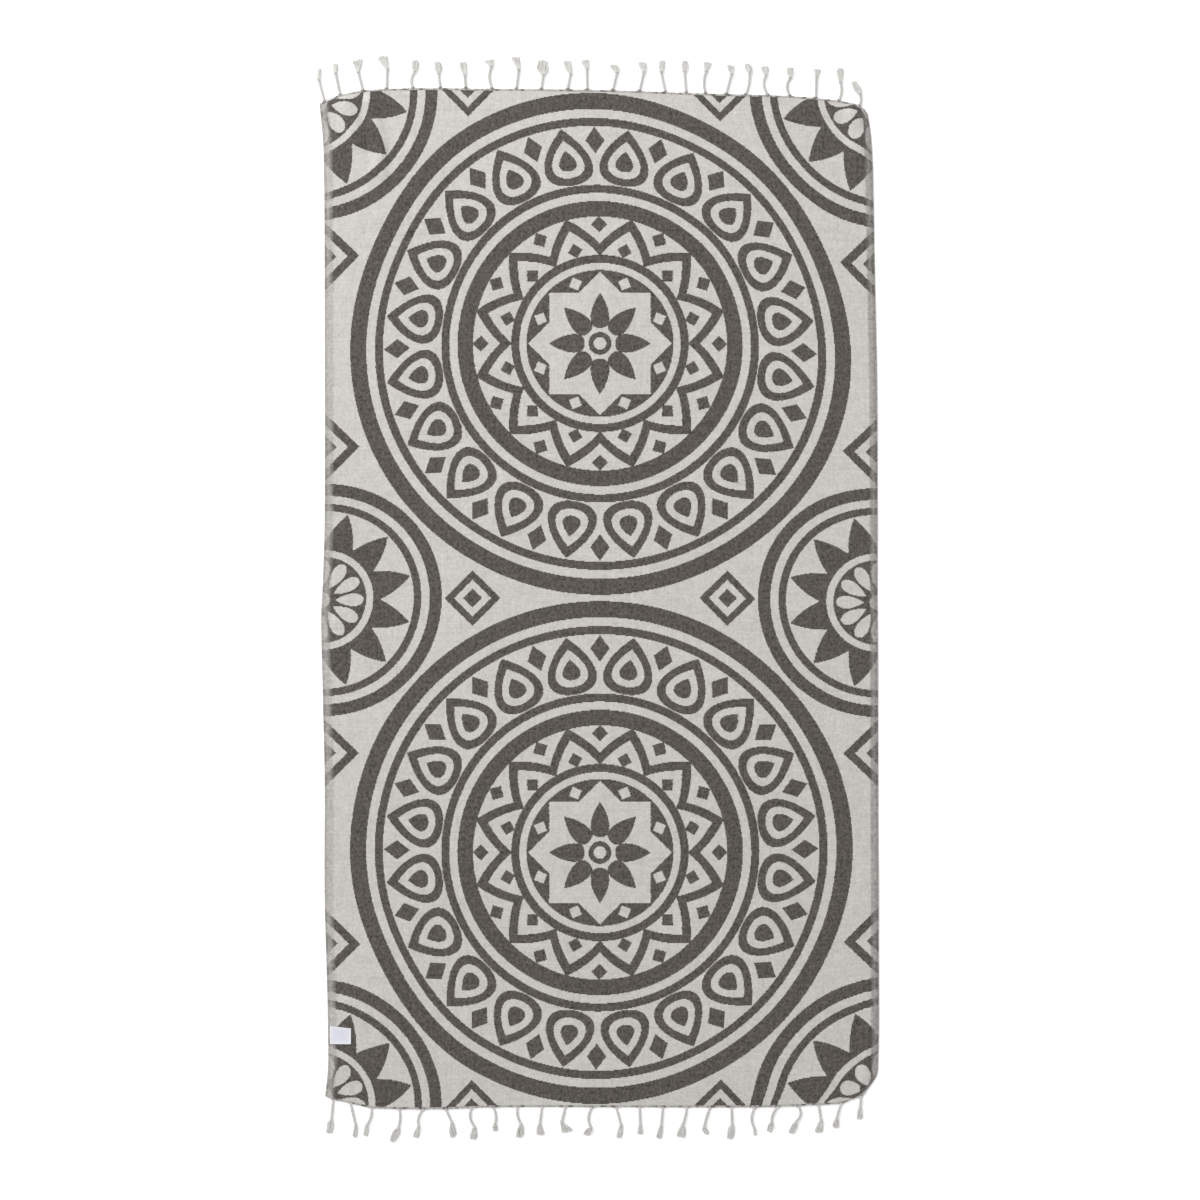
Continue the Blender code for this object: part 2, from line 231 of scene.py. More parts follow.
def crowded(cells, crowding):
    """Shares from 0 to 1 in so many cells, which are smaller towards both ends."""
    most = sin(crowding * pi / 2)
    return [0.5 + 0.5 * sin((2 * i / cells - 1) * crowding * pi / 2) / most for i in range(cells + 1)]


def shell(grid, thick_at):
    """Points and quads of a closed sheet whose middle runs through a grid of points, with its front up.
    thick_at gives the thickness of each column."""
    long, wide = len(grid), len(grid[0])
    front, back = [], []
    for j, row in enumerate(grid):
        for i, point in enumerate(row):
            right = row[min(i + 1, wide - 1)] - row[max(i - 1, 0)]
            up = grid[min(j + 1, long - 1)][i] - grid[max(j - 1, 0)][i]
            half = right.cross(up).normalized() * thick_at(i) / 2
            front.append(point + half)
            back.append(point - half)
    cells = [j * wide + i for j in range(long - 1) for i in range(wide - 1)]
    faces = [(at, at + 1, at + wide + 1, at + wide) for at in cells]
    behind = long * wide
    faces += [tuple(behind + corner for corner in face[::-1]) for face in faces]
    rim = list(range(wide))
    rim += [j * wide + wide - 1 for j in range(1, long)]
    rim += [(long - 1) * wide + i for i in range(wide - 2, -1, -1)]
    rim += [j * wide for j in range(long - 2, 0, -1)]
    faces += [(behind + a, behind + b, b, a) for a, b in zip(rim, rim[1:] + rim[:1])]
    return front + back, faces


def add_object(name, data):
    """Puts a mesh, a lamp or a camera in the scene."""
    added = bpy.data.objects.new(name, data)
    bpy.context.scene.collection.objects.link(added)
    return added


def add_piece(name, points, faces, materials, worn, maps):
    """A smooth-shaded piece. worn numbers each face's material, maps gives its corners' places by name."""
    mesh = bpy.data.meshes.new(name)
    mesh.from_pydata(points, [], faces)
    for material in materials:
        mesh.materials.append(material)
    mesh.polygons.foreach_set("material_index", worn)
    for map_name, places in maps.items():
        layer = mesh.uv_layers.new(name=map_name)
        layer.uv.foreach_set("vector", [value for place in places for value in place])
    mesh.shade_smooth()
    mesh.set_sharp_from_angle(angle=SHARP_ANGLE)
    return add_object(name, mesh)


acrosses = crowded(COLUMNS, CROWD_ACROSS)
alongs = crowded(ROWS, CROWD_ALONG)
hem_share = STRIP_DEPTH / TOWEL_LENGTH
cloth_grid = lay(acrosses, [between(hem_share, 1 - hem_share, along) for along in alongs])
cloth_edge = [row[i] for row in cloth_grid for i in (0, -1)] + cloth_grid[0] + cloth_grid[-1]
solid_low, solid_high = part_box("cloth")


def shift_to_solid(axis):
    """How far the cloth moves along an axis to have its middle where the solid's is."""
    places = [point[axis] for point in cloth_edge]
    return (solid_low[axis] + solid_high[axis] - min(places) - max(places)) / 2


MIDDLE = Vector((shift_to_solid(0), shift_to_solid(1), 0))


def cloth_thick_at(i):
    """Full thickness over the cloth, thinner and rounded at its two selvedges."""
    inwards = min(acrosses[i], 1 - acrosses[i]) * TOWEL_WIDTH
    return between(EDGE_THICK, CLOTH_THICK, sqrt(min(inwards / EDGE_ROUND, 1)))


def maths(operation, turned=False):
    """A Math node as a method of a tone, turned where the tone stands on the operator's right."""

    def method(tone, *others):
        values = (*others, tone) if turned else (tone, *others)
        return tone.node("ShaderNodeMath", {"operation": operation}, *values)

    return method


class Tone:
    """One socket of a finish, on its way to the shader. Sums of tones and numbers add Math nodes."""

    def __init__(self, socket):
        self.socket = socket

    __add__ = __radd__ = maths("ADD")
    __sub__, __rsub__ = maths("SUBTRACT"), maths("SUBTRACT", turned=True)
    __mul__ = __rmul__ = maths("MULTIPLY")
    __truediv__, __rtruediv__ = maths("DIVIDE"), maths("DIVIDE", turned=True)
    __pow__, __rpow__ = maths("POWER"), maths("POWER", turned=True)
    __lt__ = maths("LESS_THAN")
    __gt__ = maths("GREATER_THAN")
    __abs__ = maths("ABSOLUTE")
    sine = maths("SINE")
    whole = maths("FLOOR")
    part = maths("FRACT")  # what is left over its last whole number
    snapped = maths("SNAP")  # held to the start of its step
    at_least = maths("MAXIMUM")
    at_most = maths("MINIMUM")
    angle_off = maths("ARCTAN2")

    def node(self, kind, settings, *values, gives=None, **named):
        """Adds a node: its settings first, then its sockets' values or links, in order or by name."""
        tree = self.socket.id_data
        node = tree.nodes.new(kind)
        for key, value in settings.items():
            setattr(node, key, value)
        shown = [socket for socket in node.inputs if socket.enabled]
        pairs = list(zip(shown, values))
        pairs += [(next(s for s in shown if s.name == key), value) for key, value in named.items()]
        for socket, value in pairs:
            if isinstance(value, Tone):
                tree.links.new(value.socket, socket)
            else:
                socket.default_value = value
        given = [socket for socket in node.outputs if socket.enabled and gives in (None, socket.name)]
        return Tone(given[0])

    def axis(self, name):
        return self.node("ShaderNodeSeparateXYZ", {}, self, gives=name)

    def noise(self, dimensions, scale, detail):
        """Smooth noise from 0 to 1."""
        settings = {"noise_dimensions": dimensions}
        return self.node("ShaderNodeTexNoise", settings, self, scale, detail, gives="Fac")

    def speckle(self, dimensions):
        """A value from 0 to 1, its own at every place."""
        return self.node("ShaderNodeTexWhiteNoise", {"noise_dimensions": dimensions}, self, gives="Value")

    def blend(self, one, other):
        """The first colour where this tone is 0, the second where it is 1."""
        return self.node("ShaderNodeMix", {"data_type": "RGBA"}, self, one, other)

    def shaded(self, shade):
        return self.node("ShaderNodeVectorMath", {"operation": "SCALE"}, self, Scale=shade)

    def relief(self, deep, strength=0.5):
        """Bumps as high as this tone, where 1 is so many metres deep."""
        return self.node("ShaderNodeBump", {}, Strength=strength, Distance=deep, Height=self)


def new_finish(name):
    material = bpy.data.materials.new(name)
    material.use_nodes = True
    return material


def first_tone(material, kind, settings, gives=None):
    """The first tone of a finish: the place on the piece."""
    return Tone(material.node_tree.nodes["Principled BSDF"].outputs[0]).node(kind, settings, gives=gives)


def dress(material, looks):
    """Links each tone to the shader's socket of that name, and sets the plain values."""
    shader = material.node_tree.nodes["Principled BSDF"]
    for name, look in looks.items():
        if isinstance(look, Tone):
            material.node_tree.links.new(look.socket, shader.inputs[name])
        else:
            shader.inputs[name].default_value = look
    return material


# The woven design: two medallions, one over the other, and quarter fans at the corners and between them at
# the sides. A medallion and a fan are rings around their middle, listed here from the outside in.
Ring = namedtuple("Ring", "wide motif")
Spot = namedtuple("Spot", "reach angle across along")  # a place, seen from the middle of its rings

MEDALLION_PLACE = TOWEL_LENGTH / 4  # a medallion's middle, above or below the towel's
MEDALLION_RADIUS = 0.4325
FAN_RADIUS = 0.205
NESTED = ((1, 1), (0.66, -1), (0.34, 1))  # the size of each nested diamond, and if it adds charcoal


def charcoal(spot, inner, outer):
    return 1


def white(spot, inner, outer):
    return 0


def spoke(spot, count, turned=0):
    """How far a place lies from the middle of its spoke, from -0.5 to 0.5 of the way to the next."""
    return (spot.angle * (count / tau) + turned).part() - 0.5


def sideways(spot, count, turn):
    """A turn counted in spokes, as metres at this reach."""
    return turn * spot.reach * (tau / count)


def leaf(aside, share, half_wide):
    """1 in a leaf that is widest a third of the way from foot to tip."""
    third = 1 / 3
    widest = sqrt(third) * (1 - third)
    return abs(aside) < share**0.5 * (1 - share) * (half_wide / widest)


def diamond(aside, along, half_wide, half_long):
    return abs(aside) / half_wide + abs(along) / half_long < 1


def leaves(spot, inner, outer):
    """Leaves in outline, each round a charcoal heart, with small diamonds between them."""
    count, half_wide, heart = 20, 0.044, 0.40  # they all shrink towards the heart, a share of the ring
    outline, gap, core = 0.97, 0.64, 0.35
    diamond_at, diamond_half_wide, diamond_half_long = 0.76, 0.017, 0.023
    turn = spoke(spot, count)
    aside = sideways(spot, count, turn)
    share = (spot.reach - inner) / (outer - inner)
    shape = 0
    for size, sign in ((outline, 1), (gap, -1), (core, 1)):
        shape = shape + sign * leaf(aside / size, (share - heart) / size + heart, half_wide)
    bay = sideways(spot, count, 0.5 - abs(turn))
    up = spot.reach - between(inner, outer, diamond_at)
    return shape + diamond(bay, up, diamond_half_wide, diamond_half_long)


def chevrons(spot, inner, outer):
    """A zigzag line round the ring, with a small diamond in each of its bays."""
    count, foot, rise, half_thick = 12, 0.13, 0.74, 0.16
    low_at, low_half, high_at, high_half = 0.18, 0.013, 0.80, 0.014
    turn = abs(spoke(spot, count)) * 2
    share = (spot.reach - inner) / (outer - inner)
    line = abs(share - (1 - turn) * rise - foot) < half_thick
    step = spot.reach * (pi / count)
    low = diamond(turn * step, spot.reach - between(inner, outer, low_at), low_half, low_half)
    high = diamond((1 - turn) * step, spot.reach - between(inner, outer, high_at), high_half, high_half)
    return line + low + high


def teeth(spot, inner, outer):
    """Charcoal triangles that stand on the ring's inner edge."""
    count, high = 12, 0.97
    turn = abs(spoke(spot, count)) * 2
    return (spot.reach - inner) / (outer - inner) + turn < high


def star(spot, inner, outer):
    """An off-white star of two crossed squares on charcoal, with eight petals round an eye inside."""
    count, half_side = 8, 0.69
    petal_foot, petal_long, petal_half_wide = 0.21, 0.48, 0.0165
    eye_inside, eye_outside = 0.085, 0.155
    dot_at, dot_half = 0.875, 0.012
    square = spot.across.at_least(spot.along)
    lozenge = (spot.across + spot.along) * sqrt(0.5)
    field = square.at_most(lozenge) / outer < half_side
    part = spot.reach / outer
    aside = sideways(spot, count, spoke(spot, count, 0.5))
    petal = leaf(aside, (part - petal_foot) / petal_long, petal_half_wide)
    eye = (part < eye_outside) - (part < eye_inside)
    bay = sideways(spot, count, spoke(spot, count))
    dot = diamond(bay, spot.reach - outer * dot_at, dot_half, dot_half)
    return 1 - field - dot + field * (petal + eye)


def daisy(spot, inner, outer):
    """Off-white petals round an off-white dot, on charcoal."""
    count, petal_foot, petal_long, petal_half_wide, dot = 12, 0.30, 0.64, 0.0112, 0.18
    aside = sideways(spot, count, spoke(spot, count, 0.5))
    petal = leaf(aside, 1 - (spot.reach / outer - petal_foot) / petal_long, petal_half_wide)
    return 1 - petal - (spot.reach / outer < dot)


MEDALLION = table(
    Ring,
    (0.028, charcoal), (0.015, white), (0.014, charcoal), (0.102, leaves), (0.014, charcoal),
    (0.014, white), (0.027, charcoal), (0.066, chevrons), (0.014, charcoal), (0.012, white),
    (MEDALLION_RADIUS, star),  # all that is left, to the middle
)
FAN = table(
    Ring,
    (0.021, charcoal), (0.014, white), (0.013, charcoal), (0.056, teeth), (0.013, charcoal),
    (0.012, white),
    (FAN_RADIUS, daisy),
)

# The nested diamonds, one of each four: how far its middle lies to the side of the towel's middle line, and
# above or below a medallion's middle, and half its width.
LOZENGES = ((0.219, MEDALLION_PLACE, 0.048), (TOWEL_WIDTH / 2, 0.168, 0.060))


def show_rings(across, along, radius, rings):
    """1 where the charcoal shows in a set of rings, whose middle lies this far across and along."""
    reach = (across * across + along * along) ** 0.5
    spot = Spot(reach, across.angle_off(along), across, along)
    shown, outer = 0, radius
    for ring in rings:
        inner = max(outer - ring.wide, 0)
        if ring.motif is not white:
            shown = shown + (reach > inner) * (reach < outer) * ring.motif(spot, inner, outer)
        outer = inner
    return shown


def design(across, along):
    """1 where the charcoal yarn shows on the face, 0 where the off-white does."""
    aside = abs(across)
    beyond = abs(abs(along) - MEDALLION_PLACE)
    shown = show_rings(aside, beyond, MEDALLION_RADIUS, MEDALLION)
    shown = shown + show_rings(TOWEL_WIDTH / 2 - aside, MEDALLION_PLACE - beyond, FAN_RADIUS, FAN)
    for middle_x, middle_y, half in LOZENGES:
        for size, sign in NESTED:
            shown = shown + sign * diamond(aside - middle_x, beyond - middle_y, half * size, half * size)
    return shown


STEP_ACROSS = 0.0014  # one step of the design across the cloth, a few warp ends
STEP_ALONG = 0.0016  # and one along it, a few wefts
END_PITCH = 0.0019  # how far apart the thicker places in the warp lie
PICK_PITCH = 0.0023  # and in the weft
WARP_RIB, WEFT_RIB = 0.00145, 0.00134  # from one raised end or raised weft to the next
WHITE_YARN = (0.552, 0.532, 0.508, 1)
CHARCOAL_YARN = (0.095, 0.085, 0.077, 1)
COTTON_ROUGH = 0.92

# The selvedges, where both yarns mix: how much charcoal shows there over the white ground and over the
# charcoal, how much more shows at the very edge, and where that turns into the plain design, in metres.
Selvedge = namedtuple("Selvedge", "over_white over_charcoal edge_more edge_end start end")

LEFT_BAND = Selvedge(0.22, 0.50, 0.14, 0.0042, 0.0078, 0.0165)
RIGHT_BAND = Selvedge(0.45, 0.75, 0.11, 0.0052, 0.0080, 0.0145)
BAND_BEND, BAND_MOTTLE = 4, 0.35

# How uneven the cloth's tone is: smooth changes, with their turns in a metre each way, how much they shade
# the off-white, and how much more the charcoal. All but the patches are the yarns' own unevenness; the
# patches are painted shade of the cloth's small undulations.
Uneven = namedtuple("Uneven", "across along shade more")

UNEVEN = {
    "blots": Uneven(190, 170, 0.26, 0.80),
    "wefts": Uneven(14, 380, 0.17, 0.20),
    "warps": Uneven(340, 16, 0.10, 0.10),
    # painted soft shade of the cloth's small undulations
    "painted_shade_patches": Uneven(62, 48, 0.16, 0),
    "broad": Uneven(5, 4, 0.06, 0),
}
MOTTLE_SHADE, MOTTLE_MORE = 0.10, 0.42
LOOSE_ACROSS, LOOSE_ALONG, LOOSE_BY = 40, 420, 0.0022  # how the design's edges stray from weft to weft

# The relief of the weave, and what each part adds to it.
WEFT_RIB_HIGH, WARP_RIB_HIGH, MOTTLE_HIGH, SLUB_HIGH, CHARCOAL_LOW = 0.16, 0.12, 0.8, 0.8, 0.4
WEAVE_DEEP = 0.0004


def woven(name, face):
    """The cloth's finish, on its face or with the yarns changed over on its reverse."""
    material = new_finish(name)
    flat = first_tone(material, "ShaderNodeUVMap", {"uv_map": "flat"})
    across, along = flat.axis("X"), flat.axis("Y")

    def drift(turns_across, turns_along):
        """A value about 0 that changes smoothly."""
        turns = (turns_across, turns_along, 1)
        place = flat.node("ShaderNodeVectorMath", {"operation": "MULTIPLY"}, flat, turns)
        return place.noise("2D", scale=1, detail=1) - 0.5

    loose = drift(LOOSE_ACROSS, LOOSE_ALONG) * LOOSE_BY
    step_across = across.snapped(STEP_ACROSS) + STEP_ACROSS / 2
    step_along = along.snapped(STEP_ALONG) + STEP_ALONG / 2
    shown = design(step_across + loose, step_along)
    if not face:
        shown = 1 - shown

    crossing = flat.node("ShaderNodeCombineXYZ", {}, across.snapped(END_PITCH), along.snapped(PICK_PITCH))
    mottle = crossing.speckle("2D") - 0.5
    share = shown
    for inwards, band in ((across + TOWEL_WIDTH / 2, LEFT_BAND), (TOWEL_WIDTH / 2 - across, RIGHT_BAND)):
        ramp = ((inwards + loose - band.start) / (band.end - band.start)).at_least(0).at_most(1)
        pale = (1 - ramp**BAND_BEND) * band.over_white
        deep = 1 - (1 - ramp) * (1 - band.over_charcoal)
        share = between(pale, deep, share) + (inwards < band.edge_end) * band.edge_more
        share = share + (1 - ramp) * mottle * BAND_MOTTLE

    drifts = {kind: drift(uneven.across, uneven.along) for kind, uneven in UNEVEN.items()}
    shade = 1 + mottle * (share * MOTTLE_MORE + MOTTLE_SHADE)
    for kind, uneven in UNEVEN.items():
        shade = shade + drifts[kind] * (share * uneven.more + uneven.shade)
    ribs = (along * (tau / WEFT_RIB)).sine() * WEFT_RIB_HIGH
    ends = (across * (tau / WARP_RIB)).sine() * WARP_RIB_HIGH
    height = ribs + ends + mottle * MOTTLE_HIGH + drifts["wefts"] * SLUB_HIGH - share * CHARCOAL_LOW
    looks = {
        "Base Color": share.blend(WHITE_YARN, CHARCOAL_YARN).shaded(shade),
        "Normal": height.relief(WEAVE_DEEP),
        "Roughness": COTTON_ROUGH,
        "Specular IOR Level": 0.15,
        "Sheen Weight": 0.06,
        "Sheen Roughness": 0.6,
    }
    return dress(material, looks)


SHEET_WIDE, SHEET_LONG = 0.48, 0.96  # the cloth's size on a square sheet that holds both its sides
RIM_PAST_SIDE, RIM_PAST_HEM = 1.008, 1.004  # the rim runs on past the face, to this much of its size


def cloth_maps(faces, cells):
    """Each corner's place on the cut cloth in metres, and on a square sheet, face at the left."""
    side_count = (COLUMNS + 1) * (ROWS + 1)
    flat, sheet = [], []
    for number, face in enumerate(faces):
        for corner in face:
            j, i = divmod(corner % side_count, COLUMNS + 1)
            across = acrosses[i] - 0.5
            along = between(hem_share - 0.5, 0.5 - hem_share, alongs[j])
            flat.append((across * TOWEL_WIDTH, along * TOWEL_LENGTH))
            behind = corner >= side_count
            if number >= 2 * cells and behind:
                across, along, behind = across * RIM_PAST_SIDE, along * RIM_PAST_HEM, False
            sheet.append((0.25 + 0.5 * behind + SHEET_WIDE * across, 0.5 + SHEET_LONG * along))
    return {"flat": flat, "OFBake": sheet}


middle_grid = [[point + Vector((0, 0, CLOTH_THICK / 2)) + MIDDLE for point in row] for row in cloth_grid]
points, faces = shell(middle_grid, cloth_thick_at)
cells = COLUMNS * ROWS
worn = [0] * cells + [1] * cells + [0] * (len(faces) - 2 * cells)
finishes = [woven("jacquard_face", True), woven("jacquard_reverse", False)]
cloth = add_piece("towel_cloth", points, faces, finishes, worn, cloth_maps(faces, cells))
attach(cloth, "root")
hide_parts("cloth")


# ---- The tassels ------------------------
# The warp ends are gathered into bundles along each end, twisted two by two into thin cords, and tied off
# with an overhand knot that leaves a short brush of loose yarn. The hem's outermost edge holds their roots.

PULL_AT_ROOT = 0.001  # each tassel draws the hem out by this much
ROOT_REACH = 0.0050  # how far the charcoal warp shows past the hem
TWISTED, BRUSHED, HEMMED = 0, 1, 2  # the finishes of a fringe

# The tassels from left to right, in millimetres. root is a tassel's place across the towel, and bow how far
# the cord swings sideways between root and knot. The next say where knot and tip lie, sideways and outwards
# from the root, and how wide the tuft fans out. flare is 1 if it opens to its tip, and 0 if it closes again.
Tassel = namedtuple("Tassel", "root bow knot_lean knot_reach tip_lean tip_reach tuft flare")

UPPER_TASSELS = table(
    Tassel,
    (-474, 0, -10, 37, -9, 55, 7, 0.3), (-447, 0, -8, 37, -8, 53, 8, 0.3),
    (-408, 0, -8, 31, -9, 52, 18, 1), (-367, 0, 1, 33, -8, 55, 17, 1),
    (-322, -4, 3, 28, 5, 47, 13, 0.5), (-275, 0, -3, 25, -4, 44, 14, 0.2),
    (-231, 0, -2, 22, -5, 44, 13, 0.8), (-186, -4, -1, 38, -5, 49, 17, 1),
    (-144, 0, 4, 32, -1, 54, 14, 1), (-101, 0, 3, 24, 3, 49, 20, 0.2),
    (-56, 0, 5, 26, -1, 48, 13, 0.7), (-22, 0, -1, 35, -4, 51, 13, 0.8),
    (22, 0, 7, 30, 1, 43, 14, 0.5), (68, 0, 7, 32, 5, 49, 14, 0.8),
    (112, 0, -7, 33, -5, 53, 11, 0.6), (148, 0, -3, 35, -1, 54, 11, 0.2),
    (181, -3, 1, 37, 4, 53, 13, 1), (217, 0, 9, 34, 7, 49, 13, 1),
    (251, 2, 6, 36, 3, 52, 12, 0.2), (288, -5, -3, 34, -5, 49, 14, 0.8),
    (326, -5, 1, 31, 1, 48, 13, 0.8), (371, 0, 1, 36, 3, 49, 11, 0.8),
    (411, 3, 2, 31, 2, 55, 12, 0.7), (446, 2, 1, 19, -9, 41, 12, 0.2),
)
LOWER_TASSELS = table(
    Tassel,
    (-459, 0, -3, 34, -7, 57, 12, 0.3), (-429, 0, 9, 38, 7, 57, 8, 0.6),
    (-393, 3, -8, 29, -10, 47, 9, 0.6), (-345, 2, -2, 32, -12, 55, 13, 0.1),
    (-305, -4, -7, 29, -12, 48, 10, 0.6), (-265, 0, 10, 22, 13, 47, 13, 0.6),
    (-221, -5, 5, 31, 3, 53, 13, 0.7), (-183, 3, 2, 30, 3, 40, 9, 0),
    (-142, -3, 6, 28, 4, 51, 14, 0.5), (-100, 0, -4, 29, -2, 47, 13, 0.7),
    (-60, 0, -6, 25, 5, 42, 17, 1), (-14, -5, -2, 34, -10, 47, 12, 0.4),
    (28, 0, 8, 29, 5, 51, 11, 0.6), (68, 0, 1, 29, 1, 45, 9, 0.8),
    (108, 0, -3, 30, -7, 52, 10, 0.7), (149, 1, -7, 30, -10, 50, 16, 0.7),
    (189, -1, -10, 33, -5, 45, 10, 0.2), (226, 0, 1, 28, -2, 53, 12, 0.3),
    (266, -5, -1, 35, 1, 47, 5, 0.4), (305, -3, -10, 26, -14, 42, 10, 0.3),
    (341, 6, -4, 27, -12, 46, 11, 0.2), (376, 0, 4, 26, 0, 46, 14, 0.7),
    (415, -1, -8, 26, -10, 41, 11, 0.6), (449, 0, -2, 20, -3, 38, 10, 0.6),
)

Skein = namedtuple("Skein", "points faces places worn strands")  # strands of one piece, as they are added

# All the strands of a piece lie side by side on one square sheet, in a band for each kind: where it starts
# and ends, as shares of the sheet's height, and how many rows of strands it holds.
Band = namedtuple("Band", "foot head rows")

BANDS = table(Band, (0.00, 0.28, 1), (0.28, 0.42, 1), (0.42, 0.48, 1), (0.48, 0.52, 1), (0.52, 1.00, 10))
PLY, WRAP, ROOT, STRIP, YARN = range(len(BANDS))
CELL_EDGE = 0.06  # left free round a strand in its cell, where its two ends lie
CELL_END, END_HALF_WIDE, END_HALF_LONG = 0.03, 0.4, 0.02
UP = Vector((0, 0, 1))


def heading(path, i):
    """The way that a path runs at its point i."""
    return (path[min(i + 1, len(path) - 1)] - path[max(i - 1, 0)]).normalized()


def corners(steps, sides, wall, rim):
    """The places of a strand's corners: four round each face of its wall, then the rims of its two ends."""
    for i in range(steps):
        for k in range(sides):
            yield from (wall(i, k), wall(i, k + 1), wall(i + 1, k + 1), wall(i + 1, k))
    for i, way in ((0, -1), (steps, 1)):
        yield from (rim(i, k) for k in range(sides)[::way])


def skin(skein, kind, rims, place, finish):
    """Closes a row of rims into a strand. place gives the yarn map's place at rim i, point k."""
    steps, sides = len(rims) - 1, len(rims[0])
    for low, high in zip(rims, rims[1:]):
        for k in range(sides):
            after = (k + 1) % sides
            skein.faces.append((low[k], low[after], high[after], high[k]))
    skein.faces.extend([tuple(rims[0])[::-1], tuple(rims[-1])])
    skein.places.extend(corners(steps, sides, place, place))
    skein.worn.extend([finish] * (len(skein.faces) - len(skein.worn)))
    skein.strands.append((kind, sides, steps))


def sweep(skein, kind, path, radii, sides, finish=TWISTED, behind=0.0, flatten=1.0):
    """Adds a closed round strand along a path. behind is the length of yarn before its first point. On the
    piece's yarn map, the whole part of u tells the strands apart."""
    number = skein.places[-1][0] // 1 + 2 if skein.places else 0
    length, lengths, rims = behind, [], []
    aside = UP.cross(path[1] - path[0]).normalized()
    for i, point in enumerate(path):
        run = heading(path, i)
        aside = (aside - run * aside.dot(run)).normalized()
        upward = run.cross(aside)
        if i:
            length += (point - path[i - 1]).length
        lengths.append(length)
        rims.append(range(len(skein.points), len(skein.points) + sides))
        for k in range(sides):
            turn = tau * k / sides
            reach = aside * cos(turn) + upward * (sin(turn) * flatten)
            skein.points.append(point + reach * radii[i])
    skin(skein, kind, rims, lambda i, k: (number + k / sides, lengths[i]), finish)


def yarn_sheet(strands):
    """Each corner's place on the square sheet."""
    counts, used = Counter(kind for kind, sides, steps in strands), Counter()
    sheet = []
    for kind, sides, steps in strands:
        band = BANDS[kind]
        columns = -(-counts[kind] // band.rows)
        row, column = divmod(used[kind], columns)
        used[kind] += 1
        wide, high = 1 / columns, (band.head - band.foot) / band.rows

        def cell(around, along):
            x, y = (along, around) if kind == STRIP else (around, along)
            return (column + between(CELL_EDGE, 1 - CELL_EDGE, x)) * wide, band.foot + (row + y) * high

        def wall(i, k):
            return cell(k / sides, between(CELL_EDGE, 1 - CELL_EDGE, i / steps))

        def rim(i, k):
            turn, middle = tau * k / sides, 1 - CELL_END if i else CELL_END
            return cell(0.5 + END_HALF_WIDE * sin(turn), middle + END_HALF_LONG * cos(turn))

        sheet.extend(corners(steps, sides, wall, rim))
    return sheet


def plies(path, out, turns_at):
    """The two plies of a cord, which wind round its path at the distance out."""
    pair = []
    for half in (0, pi):
        ply = []
        for i, point in enumerate(path):
            run = heading(path, i)
            aside = UP.cross(run).normalized()
            turn = turns_at(i) * tau + half
            ply.append(point + (aside * cos(turn) + run.cross(aside) * sin(turn)) * out(i))
        pair.append(ply)
    return pair


# Where a tassel lies, in metres. ground is the height of its root, and knot and tip are seen from the root.
Lie = namedtuple("Lie", "end root_x root_y ground bow knot_x knot_y tip_x tip_y")


def lie_of(tassel, end):
    """Where a tassel of the upper (end 1) or lower (end -1) end lies."""
    *lengths, tuft, flare = tassel
    x, *places = (length * MM for length in lengths)
    y = end * (TOWEL_LENGTH / 2 + wander(UPPER_HEM if end > 0 else LOWER_HEM, x))
    return Lie(end, x, y + end * PULL_AT_ROOT, FLOOR_GAP + lift(x, y), *places)


CORD_FROM, CORD_TO = -0.07, 1.05  # a cord starts in the hem and ends in its knot
ROOT_SHARE = 0.25  # it is thinner over this first part of its length
KNOT_SHARE = 0.75  # from here on it rises to its knot
ROOT_RISE = 0.0014  # its middle above the ground at the hem
CORD_RISE = 0.0027  # where it lies on the floor
KNOT_RISE = 0.0038  # and at its knot
PLY_RADIUS = 0.00150  # two plies make a cord
PLY_OUT = 0.00112  # how far a ply's middle lies from the cord's
PLY_LAY = 0.0078  # one full turn of the cord's twist
ROOT_RADIUS, ROOT_OUT = 0.6, 0.45  # a ply's thickness and its place at the root, as shares of these
PLY_SIDES, PLY_STEPS, LEAST_STEPS = 8, 9, 20
NUB = ((-3.0, 7.2), (-1.0, 6.8), (0.8, 5.6), (2.4, 4.2), (4.0, 3.2))  # out past the hem and width, in mm
NUB_FLAT, NUB_SIDES = 0.34, 10


def grown(share):
    """0 at a cord's root, 1 from where it has its full thickness."""
    return min(max(share / ROOT_SHARE, 0), 1)


def cord_point(lie, share):
    """The middle of a cord, a share of the way from its root to its knot."""
    x = lie.root_x + lie.knot_x * share + lie.bow * sin(pi * share)
    rise = between(lie.ground + ROOT_RISE, CORD_RISE, grown(share))
    rise = between(rise, KNOT_RISE, min(max((share - KNOT_SHARE) / (1 - KNOT_SHARE), 0), 1))
    return Vector((x, lie.root_y + lie.end * lie.knot_y * share, rise)) + MIDDLE


def twist_cord(skein, lie, chance):
    """Twists two plies into a cord, and gathers its yarns in a flat nub at the hem."""
    steps = max(int(lie.knot_y / PLY_LAY * PLY_STEPS), LEAST_STEPS)
    shares = [between(CORD_FROM, CORD_TO, i / steps) for i in range(steps + 1)]
    path = [cord_point(lie, share) for share in shares]
    radii = [PLY_RADIUS * between(ROOT_RADIUS, 1, grown(share)) for share in shares]
    first_turn = chance.random()
    turns = lie.knot_y * (CORD_TO - CORD_FROM) / PLY_LAY

    def out(i):
        return PLY_OUT * between(ROOT_OUT, 1, grown(shares[i]))

    bare = PULL_AT_ROOT if lie.end > 0 else ROOT_REACH  # charcoal shows at the roots of the upper end alone
    for ply in plies(path, out, lambda i: first_turn + turns * i / steps):
        sweep(skein, PLY, ply, radii, PLY_SIDES, behind=bare)
    nub = [cord_point(lie, past * MM / lie.knot_y) for past, wide in NUB]
    radii = [wide * MM / 2 for past, wide in NUB]
    sweep(skein, ROOT, nub, radii, NUB_SIDES, behind=bare + NUB[0][0] * MM, flatten=NUB_FLAT)


